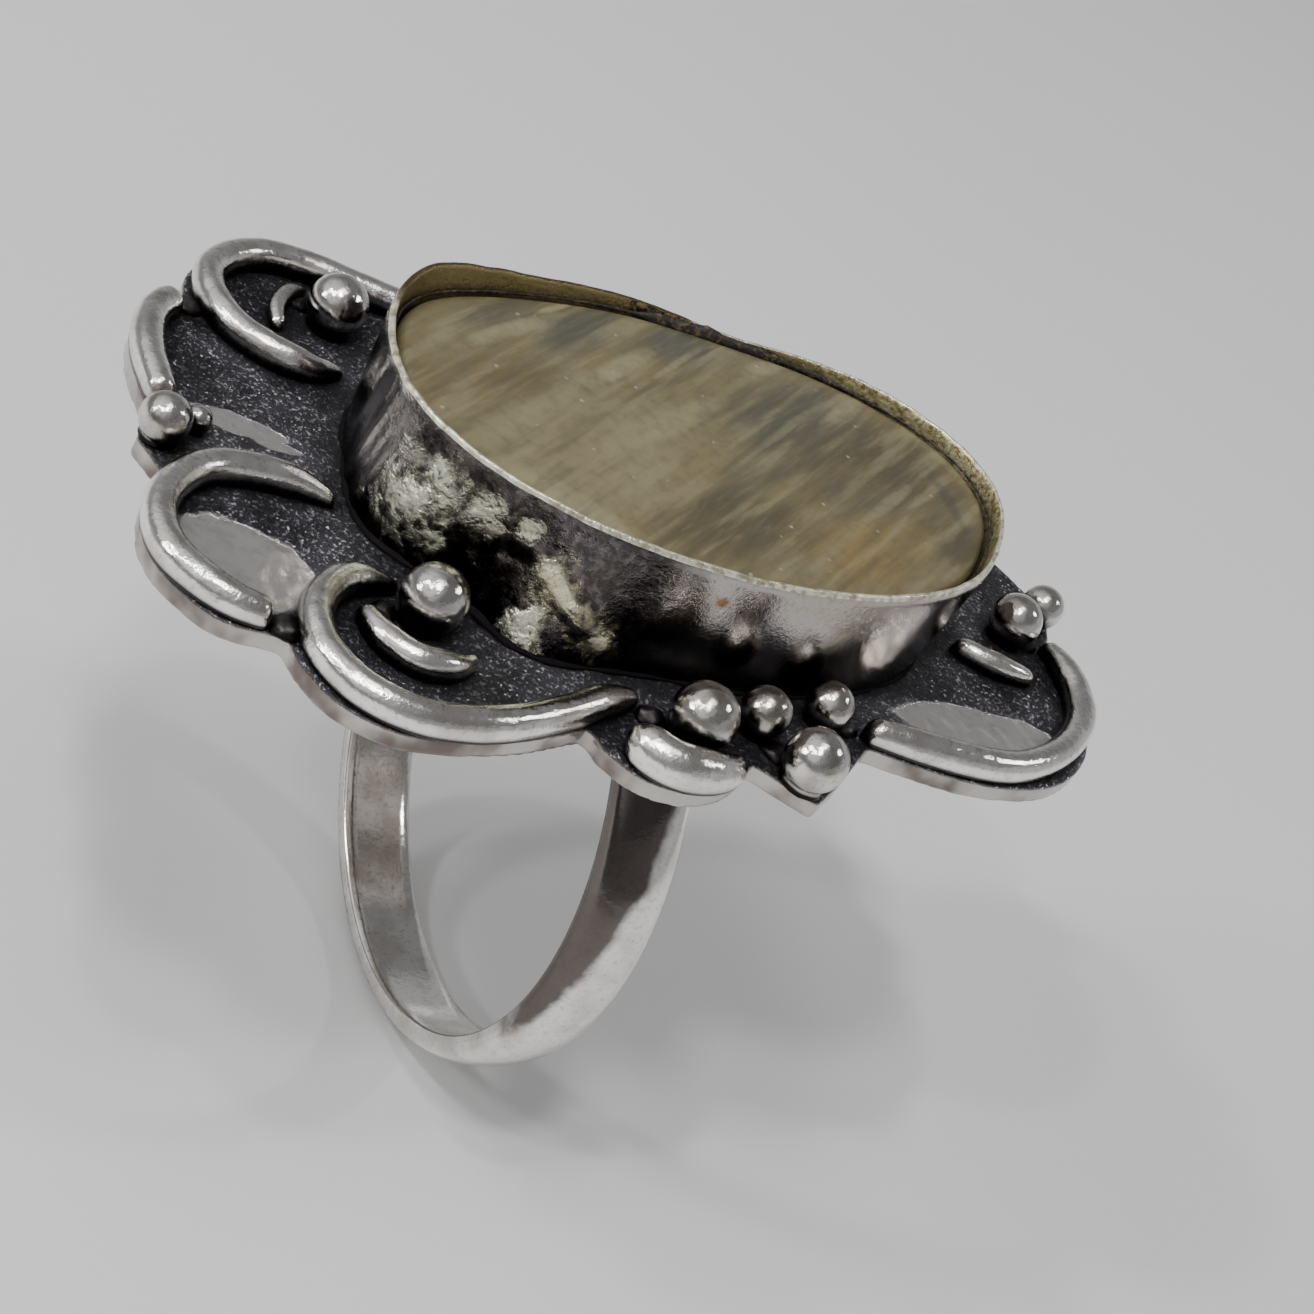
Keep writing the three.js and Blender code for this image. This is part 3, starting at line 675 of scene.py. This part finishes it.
def packing_compound():
    """Plain tan filler, unseen under the stone."""
    n = Nodes("packing_compound")
    lumps = n.noise(0.6, 4)
    n.put("Base Color", n.mix(lumps, PACKING_DARK, PACKING_PALE))
    n.put("Roughness", n.step(lumps, 0.3, 0.7, 0.7, 0.95))
    n.put("Normal", n.bump(lumps, 0.1, 0.7))
    return n.material


# The shank's top is painted brown-black as shade and dark reflection of the plate
SHANK_METAL = silver("shank_metal", grey(0.84, 0.02), grey(0.66, 0.05), polish=0.06, foot_shade_mm=0.0,
                     shade=(0.10, 0.40), grain=0.35, plate_shade=(2.0, 4.0, 4.4))
WIRE_METAL = silver("wire_metal", grey(0.95, 0.02), grey(0.70, 0.05), polish=0.06, foot_shade_mm=0.35,
                    shade=(0.56, 0.88))
# Beads: the painted shade at the foot reaches high up the ball and darkens its lower part
BEAD_METAL = silver("bead_metal", grey(0.72, 0.03), grey(0.42, 0.08), polish=0.05, foot_shade_mm=0.9,
                    shade=(0.42, 0.80), grain=0.7)
SOLDER_METAL = silver("solder_metal", grey(0.30, 0.04), grey(0.12, 0.06), polish=0.24, foot_shade_mm=0.6,
                      shade=(0.60, 0.95))
# Painted shade: the solder round the bezel's foot is made black to stand for the shadow there
FOOT_SHADE_METAL = silver("foot_shade_black", grey(0.05, 0.04), grey(0.02, 0.06), polish=0.55, foot_shade_mm=0.5,
                    shade=(0.60, 0.95))
PLATE_METAL = plate_metal()
BEZEL_METAL = bezel_metal()
RIM_METAL = rim_metal()
LINING_METAL = lining_metal()
STONE = stone_body()
DIRT = setting_dirt()
PACKING = packing_compound()


# ---------------------------------------------------------------- shank

def make_shank():
    """D section carried round the finger hole and filed flat under the plate."""
    around = 200
    crown_steps = 22
    crown_share = 0.96
    corner = 0.10
    wear_depth = 0.018
    half = SHANK_WIDTH / 2
    section = []
    for i in range(crown_steps + 1):
        t = -1 + 2 * i / crown_steps
        rise = (SHANK_THICK - SHANK_EDGE) * math.sqrt(1 - (crown_share * t) ** 2)
        section.append((t * half, HOLE_R + SHANK_EDGE + rise))
    section += [(half, HOLE_R + corner), (half - corner, HOLE_R)]
    section += [(half * (0.6 - 0.3 * i), HOLE_R) for i in range(5)]
    section += [(corner - half, HOLE_R), (-half, HOLE_R + corner)]
    verts = []
    for k in range(around):
        a = 2 * math.pi * k / around
        for x, r in section:
            y, z = r * math.cos(a), r * math.sin(a)
            wear = wear_depth * rough(x, y, z, 3.0) * (r > HOLE_R + corner)
            y, z = y * (1 + wear / r), z * (1 + wear / r)
            verts.append((x, y, min(z, PLATE_BOTTOM)))
    faces = ring_faces(around, len(section), closed=True)
    obj = piece("shank_band", verts, faces, SHANK_METAL, ["shank"])
    tidy_normals(obj)


# ---------------------------------------------------------------- plate

def make_plate():
    """The CAD sheet remeshed fine, with softened edges and an uneven, sandy top.

    The faces are shifted a little inward, which keeps their roughness close to the sheet's own size.
    """
    voxel = 0.13
    skin = 0.12
    tooth, tooth_shift = 0.035, 0.02
    ripple, ripple_shift = 0.02, 0.01
    edge_wear = (0.0012, 0.0018)
    source = bpy.data.objects.new("plate_source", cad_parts["backplate"].data.copy())
    bpy.context.scene.collection.objects.link(source)
    remesh = source.modifiers.new("fine", "REMESH")
    remesh.mode = "VOXEL"
    remesh.voxel_size = voxel * MM
    graph = bpy.context.evaluated_depsgraph_get()
    mesh = bpy.data.meshes.new_from_object(source.evaluated_get(graph))
    bpy.data.objects.remove(source)
    verts = []
    for v in mesh.vertices:
        x, y, z = v.co / MM
        if z > PLATE_TOP - skin:
            z += tooth * rough(x, y, z, 0.45, 3) - tooth_shift
        elif z < PLATE_BOTTOM + skin:
            z += ripple * rough(x, y, z, 1.6, 2) + ripple_shift
        else:
            x *= 1 - edge_wear[0] * abs(rough(x, y, z, 0.8))
            y *= 1 - edge_wear[1] * abs(rough(x, y, z, 0.8))
        verts.append((x, y, z))
    faces = [tuple(p.vertices) for p in mesh.polygons]
    piece("plate_sheet", verts, faces, PLATE_METAL, ["backplate"])


# ---------------------------------------------------------------- bezel, stone and seams

def bumps_at(bumps, angle):
    """Sum of smooth bumps round the oval, each a place in degrees, a size and a spread in degrees."""
    total = 0.0
    for degrees, size, spread in bumps:
        away = angle - math.radians(degrees)
        off = math.atan2(math.sin(away), math.cos(away)) / math.radians(spread)
        total += size * math.exp(-off * off)
    return total


def oval(angle, inset, z):
    """A point of the bezel's outline at a height, drawn in by `inset`."""
    down = (RIM_Z - z) / (RIM_Z - PLATE_TOP)
    plan = 1 + bumps_at(PLAN_BUMPS, angle)
    lean = 1 - BEZEL_FLARE * down + bumps_at(FOOT_BUMPS, angle) * down * down
    x = BEZEL_CENTRE[0] + (BEZEL_A - inset) * math.cos(angle) * plan * lean
    y = BEZEL_CENTRE[1] + (BEZEL_B - inset) * math.sin(angle) * plan * lean
    return x, y


def rim_rise(angle, z):
    """How much the wall is drawn up or down at a height, all of it at the rim."""
    up = (z - PLATE_TOP) / (RIM_Z - PLATE_TOP)
    return bumps_at(RISE_BUMPS, angle) * up * up


# Hand marks of the wall: millimetres of it per radian, pleats in a full turn, and how many
# degrees the pleats and the sharp ridge move round over the wall's height
WALL_RUN = 9.0
PLEATS_AROUND = 34
PLEAT_LEAN = 9
RIDGE_AT = 232.5
RIDGE_LEAN = 41


def near_angle(angle, degrees, spread):
    """1 at a place round the oval, falling away over `spread` degrees."""
    return bumps_at([(degrees, 1.0, spread)], angle)


def dent(angle, up, depth, degrees, spread, middle, tall):
    """How far one dent pushes the wall in; a negative depth pushes it out.

    degrees and spread are round the oval, and middle and tall are shares of the wall's height.
    """
    return depth * near_angle(angle, degrees, spread) * math.exp(-((up - middle) / tall) ** 2)


def crumple(angle, up):
    """How far the hand-pressed wall is pushed in at a share of its height, in millimetres."""
    run = angle * WALL_RUN
    degrees = math.degrees(angle)
    waves = 0.05 * rough(run, up * 3.0, 3.0, 3.5, 2)
    crinkles = 0.20 * abs(rough(run, up * 4.4, 5.0, 1.1, 3)) * near_angle(angle, 214, 20)
    pleat = 0.5 + 0.5 * math.sin(math.radians(degrees - PLEAT_LEAN * up) * PLEATS_AROUND)
    pleats = 0.13 * pleat * near_angle(angle, 181, 13)
    bulge = dent(angle, up, -0.22, 204, 9, 0.40, 0.24)
    hollow = dent(angle, up, 0.22, 221, 6, 0.35, 0.35)
    ridge = dent(angle, up, -0.16, RIDGE_AT + RIDGE_LEAN * (0.52 - up), 2.6, 0.32, 0.26)
    fade = math.sin(math.pi * min(1.0, 0.10 + 0.90 * up)) ** 0.6
    return fade * (waves + crinkles + pleats + hollow) + bulge + ridge


def make_bezel():
    """Thin strip with an uneven top edge, rubbed over a little at the rim."""
    around = 560
    levels = 34
    rim_waves, rim_wear = 0.045, 0.05
    rub_band, rub_in = 0.05, 0.07
    clear_of_cad = 0.02
    top_thinner = 0.12
    least_wall = 0.18
    lip_profile = ((0.13, 0.030), (0.18, 0.026))  # inset, and height over the outer edge
    verts = []
    for k in range(around):
        a = 2 * math.pi * k / around
        outer = []
        inner = []
        ripple = rim_waves * rough(math.cos(a) * 9, math.sin(a) * 9, 0, 1.3, 3)
        for i in range(levels + 1):
            up = i / levels
            z = PLATE_TOP + (RIM_Z - PLATE_TOP) * up
            lift = rim_rise(a, z) + ripple * up ** 4 - rim_wear * up ** 6
            push = crumple(a, up) + clear_of_cad
            rub = rub_in * max(0.0, up - (1 - rub_band)) / rub_band
            outer.append((*oval(a, push + rub, z), z + lift))
            thin = BEZEL_WALL - top_thinner * up
            inner.append((*oval(a, max(thin, push + least_wall), z), z + lift))
        top_z = outer[-1][2]
        lip = [(*oval(a, inset, RIM_Z), top_z + rise) for inset, rise in lip_profile]
        verts += outer + lip + inner[::-1]
    count = 2 * (levels + 1) + len(lip_profile)
    faces = ring_faces(around, count, closed=True)
    obj = piece("bezel_strip", verts, faces, BEZEL_METAL, ["bezel_wall"])
    obj.data.materials.append(RIM_METAL)
    obj.data.materials.append(LINING_METAL)
    rim_first = levels - 1
    rim_last = levels + len(lip_profile)
    for face in obj.data.polygons:
        column = face.index % count
        if rim_first <= column <= rim_last:
            face.material_index = 1
        elif column > rim_last:
            face.material_index = 2
    tidy_normals(obj)


def make_stone():
    """Flat-topped oval with a rounded, slightly uneven edge."""
    around = 240
    face_z = STONE_TOP - 0.012
    face_from = 0.3
    unevenness = 0.012
    profile = [(0.42, SEAT_Z + 0.02), (0.14, SEAT_Z + 0.1), (0.04, SEAT_Z + 0.4), (0.02, STONE_TOP - 0.7),
               (0.04, STONE_TOP - 0.34), (0.12, STONE_TOP - 0.18), (0.26, STONE_TOP - 0.09),
               (0.5, STONE_TOP - 0.045), (0.9, STONE_TOP - 0.02), (1.5, face_z)]
    profile += [(1.5 + 0.6 * i, face_z) for i in range(1, 9)]
    verts = []
    for inset, z in profile:
        for k in range(around):
            a = 2 * math.pi * k / around
            x, y = oval(a, BEZEL_WALL + SETTING_GAP + inset, min(z, RIM_Z))
            on_face = inset > face_from and z > STONE_TOP - face_from
            dip = unevenness * rough(x, y, 0, 2.5, 2) if on_face else 0
            verts.append((x, y, z + min(0.01, dip)))
    faces = ring_faces(len(profile), around)
    obj = piece("stone_flat_oval", verts, faces, STONE, ["stone"])
    tidy_normals(obj)


def seam(name, centre_inset, z, width, height, material, uneven, least=1.0, thick_at=()):
    """A lumpy bead of solder or dirt laid round the oval, `least` of its full size away from thick_at."""
    around = 360
    sides = 10
    verts = []
    for k in range(around):
        a = 2 * math.pi * k / around
        lump = 1 + uneven * rough(math.cos(a) * 9, math.sin(a) * 6, z, 0.8, 3)
        lump *= least + bumps_at(thick_at, a)
        for s in range(sides):
            t = 2 * math.pi * s / sides
            inset = centre_inset + width * math.cos(t) * lump
            rise = height * math.sin(t) * lump
            low_z = min(RIM_Z, max(PLATE_TOP, z + rise))
            x, y = oval(a, inset, low_z)
            verts.append((x, y, max(PLATE_TOP - BEDDED, z + rise)))
    obj = piece(name, verts, ring_faces(around, sides, closed=True), material)
    tidy_normals(obj)


# ---------------------------------------------------------------- wires and beads

def route_points(route, step):
    """Points along a centripetal Catmull-Rom curve through the route, bunched a little at its ends.

    Each comes with its distance along the curve and the curve's direction there.
    """
    dense_steps = 40
    fewest = 12
    bunching = 0.3
    pts = [Vector((x, y)) for x, y in route]
    ends = [2 * pts[0] - pts[1]] + pts + [2 * pts[-1] - pts[-2]]
    dense = []
    for i in range(len(pts) - 1):
        p0, p1, p2, p3 = ends[i:i + 4]
        t0, t1, t2 = ((b - a).length ** 0.5 for a, b in ((p0, p1), (p1, p2), (p2, p3)))
        m1 = ((p1 - p0) / t0 - (p2 - p0) / (t0 + t1) + (p2 - p1) / t1) * t1
        m2 = ((p2 - p1) / t1 - (p3 - p1) / (t1 + t2) + (p3 - p2) / t2) * t1
        for s in range(dense_steps):
            u = s / dense_steps
            dense.append(p1 + m1 * u + (-3 * p1 + 3 * p2 - 2 * m1 - m2) * u * u
                         + (2 * p1 - 2 * p2 + m1 + m2) * u ** 3)
    dense.append(pts[-1])
    lengths = [0.0]
    for a, b in zip(dense, dense[1:]):
        lengths.append(lengths[-1] + (b - a).length)
    total = lengths[-1]
    count = max(fewest, round(total / step))
    made = []
    j = 0
    for i in range(count + 1):
        bunched = total * (0.5 - 0.5 * math.cos(math.pi * i / count))
        mark = bunched * bunching + total * i / count * (1 - bunching)
        while j < len(dense) - 2 and lengths[j + 1] < mark:
            j += 1
        share = (mark - lengths[j]) / (lengths[j + 1] - lengths[j])
        at = dense[j].lerp(dense[j + 1], min(1, share))
        made.append((mark, at, (dense[j + 1] - dense[j]).normalized()))
    return made, total


def make_wire(node, route, radius, start, end):
    """Hand-drawn round wire with melted ends, bedded on the plate in a small solder fillet."""
    sides = 28
    step = 0.14
    fillet_from, fillet_reach, widest = 0.45, 0.32, 1.02
    marks, total = route_points(route, step)
    taper = TAPER * radius

    def radius_at(s):
        from_start = min(1, s / taper)
        from_end = min(1, (total - s) / taper)
        a = start + (1 - start) * math.sin(from_start * math.pi / 2)
        b = end + (1 - end) * math.sin(from_end * math.pi / 2)
        return radius * min(a, b)

    verts = []
    for s, at, along in marks:
        full = radius_at(s)
        near = min(s, total - s)
        cap = full * 0.9
        r = full * math.sqrt(max(0.02, 1 - (1 - min(near, cap) / cap) ** 2))
        r *= 1 + 0.035 * rough(at.x, at.y, 0, 2.0, 2)
        across = Vector((along.y, -along.x))
        for k in range(sides):
            t = 2 * math.pi * k / sides
            side, up = math.cos(t), math.sin(t)
            if up < -fillet_from:
                lower = (-up - fillet_from) / (1 - fillet_from)
                side *= 1.0 + fillet_reach * lower / max(0.35, abs(side))
                side = max(-widest, min(widest, side))
            wobble = 1 + 0.015 * rough(at.x + side, at.y + up, full, 0.5, 2)
            x = at.x + across.x * side * r * wobble
            y = at.y + across.y * side * r * wobble
            z = PLATE_TOP - BEDDED + max(0.0, SINK * r + up * r * wobble)
            verts.append((x, y, z))
    obj = piece(node + "_wire", verts, ring_faces(len(marks), sides), WIRE_METAL, [node])
    tidy_normals(obj)


# Skirt of solder under a bead, from the ball down: shares of the bead's radius outward and upward
BEAD_SKIRT = ((0.74, 0.24), (0.71, 0.13), (0.72, 0.05), (0.75, -0.01))


def make_bead(node):
    """Melted grain: a nearly true ball with a small skirt of solder at its foot."""
    around = 40
    rows = 26
    low, high = box_mm(node)
    cx, cy = (low.x + high.x) / 2, (low.y + high.y) / 2
    r = (high.y - low.y) / 2
    centre_z = high.z - r
    verts = []
    for i in range(rows + 1):
        polar = math.pi * (0.012 + 0.70 * i / rows)
        ring_r, z = r * math.sin(polar), centre_z + r * math.cos(polar)
        for k in range(around):
            t = 2 * math.pi * k / around
            x, y = math.cos(t) * ring_r, math.sin(t) * ring_r
            lumps = 1 + 0.014 * rough(cx + x, cy + y, z, 0.8, 3)
            verts.append((cx + x * lumps, cy + y * lumps, min(high.z, z)))
    for share, rise in BEAD_SKIRT:
        for k in range(around):
            t = 2 * math.pi * k / around
            reach = r * share * (1 + 0.06 * rough(cx + math.cos(t), cy + math.sin(t), rise, 0.6, 2))
            verts.append((cx + reach * math.cos(t), cy + reach * math.sin(t), low.z + rise * r))
    faces = ring_faces(rows + 1 + len(BEAD_SKIRT), around)
    obj = piece(node + "_ball", verts, faces, BEAD_METAL, [node])
    tidy_normals(obj)


# Solder puddles where border pieces meet: centre, half sizes along x and y (mm)
PUDDLES = {
    "left_near": (-13.6, -6.9, 0.5, 0.5), "left_tip": (-15.5, 1.1, 0.45, 0.4),
    "left_far": (-13.7, 7.1, 0.5, 0.45), "near_centre": (-2.7, -8.4, 0.5, 0.4),
    "near_cluster": (1.4, -9.2, 0.5, 0.5), "near_curl": (-2.5, -9.9, 0.5, 0.4),
    "near_right": (4.5, -7.7, 0.45, 0.35), "near_left": (-10.4, -5.6, 0.4, 0.4),
    "right_near": (14.6, -2.1, 0.4, 0.35), "right_tip": (14.7, -1.3, 0.45, 0.4),
    "far_left": (-9.7, 8.5, 0.4, 0.3), "far_centre": (-2.7, 8.4, 0.5, 0.4),
    "far_cluster": (1.4, 9.2, 0.5, 0.5), "far_curl": (-2.5, 9.9, 0.5, 0.4),
    "far_right": (4.5, 7.7, 0.45, 0.35), "right_far": (14.6, 2.1, 0.4, 0.35),
}


def make_puddle(name, cx, cy, half_x, half_y, level=PLATE_TOP, half_z=0.24):
    """A low, uneven blob of solder round a height, on the plate unless another is given."""
    around, rows = 28, 12
    verts = []
    for i in range(rows + 1):
        polar = math.pi * (0.02 + 0.96 * i / rows)
        for k in range(around):
            t = 2 * math.pi * k / around
            x, y, up = math.cos(t) * math.sin(polar), math.sin(t) * math.sin(polar), math.cos(polar)
            lump = 1 + 0.22 * rough(cx + x, cy + y, up, 0.7, 3)
            verts.append((cx + half_x * x * lump, cy + half_y * y * lump, level + half_z * up * lump))
    obj = piece("solder_" + name, verts, ring_faces(rows + 1, around), SOLDER_METAL)
    tidy_normals(obj)


make_shank()
make_plate()
make_bezel()
make_stone()
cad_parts["stone_packing"].material_slots[0].material = PACKING
# The bezel's foot solder, black as painted shade
seam("bezel_foot_solder", centre_inset=0.09, z=PLATE_TOP, width=0.17, height=0.11,
     material=FOOT_SHADE_METAL, uneven=0.6)
seam("stone_seam_dirt", centre_inset=0.35, z=STONE_TOP - 0.12, width=0.11, height=0.17,
     material=DIRT, uneven=0.9, least=0.25, thick_at=[(76, 1.3, 16)])
for node, wire in WIRES.items():
    make_wire(node, *wire)
for node in BEADS:
    make_bead(node)
for name, blob in PUDDLES.items():
    make_puddle(name, *blob)
for name, y in (("shank_near", -3.4), ("shank_far", 3.4)):
    make_puddle(name, 0.0, y, 1.25, 0.75, level=PLATE_BOTTOM - BEDDED, half_z=0.30)


# ---------------------------------------------------------------- floor, lights, camera

def make_floor():
    """A wide pale paper floor that sweeps up into a wall all round. Its lengths are in metres."""
    n = Nodes("floor_paper")
    cloud = n.noise(60.0, 2)
    n.put("Base Color", n.mix(cloud, PAPER_GREY, PAPER_WHITE))
    n.put("Roughness", n.step(cloud, 0.3, 0.7, 0.85, 0.95))
    around = 96
    flat = 1.0
    sweep = 0.8
    profile = [(0.02, 0.0), (flat / 2, 0.0), (flat, 0.0)]
    for i in range(1, 13):
        t = math.radians(7 * i)
        profile.append((flat + sweep * math.sin(t), sweep * (1 - math.cos(t))))
    verts = []
    for radius, rise in profile:
        for k in range(around):
            a = 2 * math.pi * k / around
            verts.append((radius * math.cos(a), radius * math.sin(a), FLOOR_Z * MM + rise))
    open_above = ring_faces(len(profile), around)[:-1]
    mesh = bpy.data.meshes.new("floor")
    mesh.from_pydata(verts, [], open_above)
    mesh.polygons.foreach_set("use_smooth", [True] * len(mesh.polygons))
    floor = bpy.data.objects.new("floor", mesh)
    bpy.context.scene.collection.objects.link(floor)
    floor.data.materials.append(n.material)


# Square soft boxes: name, azimuth (0 on the -Y side, 90 on the +X side) and elevation in degrees,
# distance and size in metres, watts
LIGHTS = [
    ("key_left", -98, 24, 0.34, 0.035, 0.26), ("key_side", -100, 44, 0.34, 0.022, 0.20),
    ("key_high", -48, 63, 0.34, 0.035, 0.26), ("key_top", -66, 70, 0.34, 0.018, 0.14),
    ("key_middle", -75, 50, 0.36, 0.018, 0.16), ("right_back", 80, 40, 0.36, 0.03, 0.16),
    ("overhead_soft", -60, 84, 0.50, 0.14, 0.26),
]
LIGHTS_AIM_AT = (0, 0, 0.010)


def make_light(name, azimuth, elevation, distance, size, watts):
    """One soft box, turned towards the head of the ring."""
    a, e = math.radians(azimuth), math.radians(elevation)
    way = Vector((math.sin(a) * math.cos(e), -math.cos(a) * math.cos(e), math.sin(e)))
    light = bpy.data.lights.new(name, "AREA")
    light.size = size
    light.energy = watts
    lamp = bpy.data.objects.new(name, light)
    bpy.context.scene.collection.objects.link(lamp)
    lamp.location = Vector(LIGHTS_AIM_AT) + way * distance
    lamp.rotation_mode = "QUATERNION"
    lamp.rotation_quaternion = way.to_track_quat("Z", "Y")


def make_world(low, high, toward, turns_from=0.3):
    """Soft studio surround: `high` straight `toward` a direction, falling to `low` away from it.

    turns_from is the cosine of the angle from that direction at which it is down to `low`.
    """
    world = bpy.data.worlds.new("studio")
    world.use_nodes = True
    tree = world.node_tree
    shade = tree.nodes["Background"]
    shade.inputs["Color"].default_value = (1.0, 1.0, 1.02, 1)
    direction = tree.nodes.new("ShaderNodeTexCoord")
    facing = tree.nodes.new("ShaderNodeVectorMath")
    facing.operation = "DOT_PRODUCT"
    facing.inputs[1].default_value = Vector(toward).normalized()
    ramp = tree.nodes.new("ShaderNodeMapRange")
    ramp.interpolation_type = "SMOOTHSTEP"
    for socket, value in zip(ramp.inputs[1:5], (turns_from, 1.0, low, high)):
        socket.default_value = value
    tree.links.new(direction.outputs["Generated"], facing.inputs[0])
    tree.links.new(facing.outputs["Value"], ramp.inputs["Value"])
    tree.links.new(ramp.outputs["Result"], shade.inputs["Strength"])
    bpy.context.scene.world = world


# Camera: azimuth and downward slope of its line of sight and its roll (degrees), place (mm), lens (mm)
VIEW_TURNS = (39.18, 32.87, 32.83)
VIEW_FROM = (-40.42, -53.47, 50.07)
VIEW_LENS = 68.66
VIEW_SENSOR = 36.0


def make_camera():
    """Looks down on the ring from its near left, rolled to the side."""
    azimuth, elevation, roll = (math.radians(turn) for turn in VIEW_TURNS)
    look = Vector((math.sin(azimuth) * math.cos(elevation), math.cos(azimuth) * math.cos(elevation),
                   -math.sin(elevation)))
    right = look.cross(Vector((0, 0, 1))).normalized()
    up = right.cross(look)
    tilted_right = right * math.cos(roll) + up * math.sin(roll)
    tilted_up = up * math.cos(roll) - right * math.sin(roll)
    data = bpy.data.cameras.new("camera")
    data.sensor_width = VIEW_SENSOR
    data.lens = VIEW_LENS
    data.clip_start = 0.005
    data.clip_end = 10.0
    camera = bpy.data.objects.new("camera", data)
    bpy.context.scene.collection.objects.link(camera)
    turn = Matrix((tilted_right, tilted_up, -look)).transposed().to_4x4()
    camera.matrix_world = Matrix.Translation(Vector(VIEW_FROM) * MM) @ turn
    bpy.context.scene.camera = camera


make_floor()
make_world(low=0.19, high=0.85, toward=(-0.8, 0.1, 0.6))
for light in LIGHTS:
    make_light(*light)
make_camera()
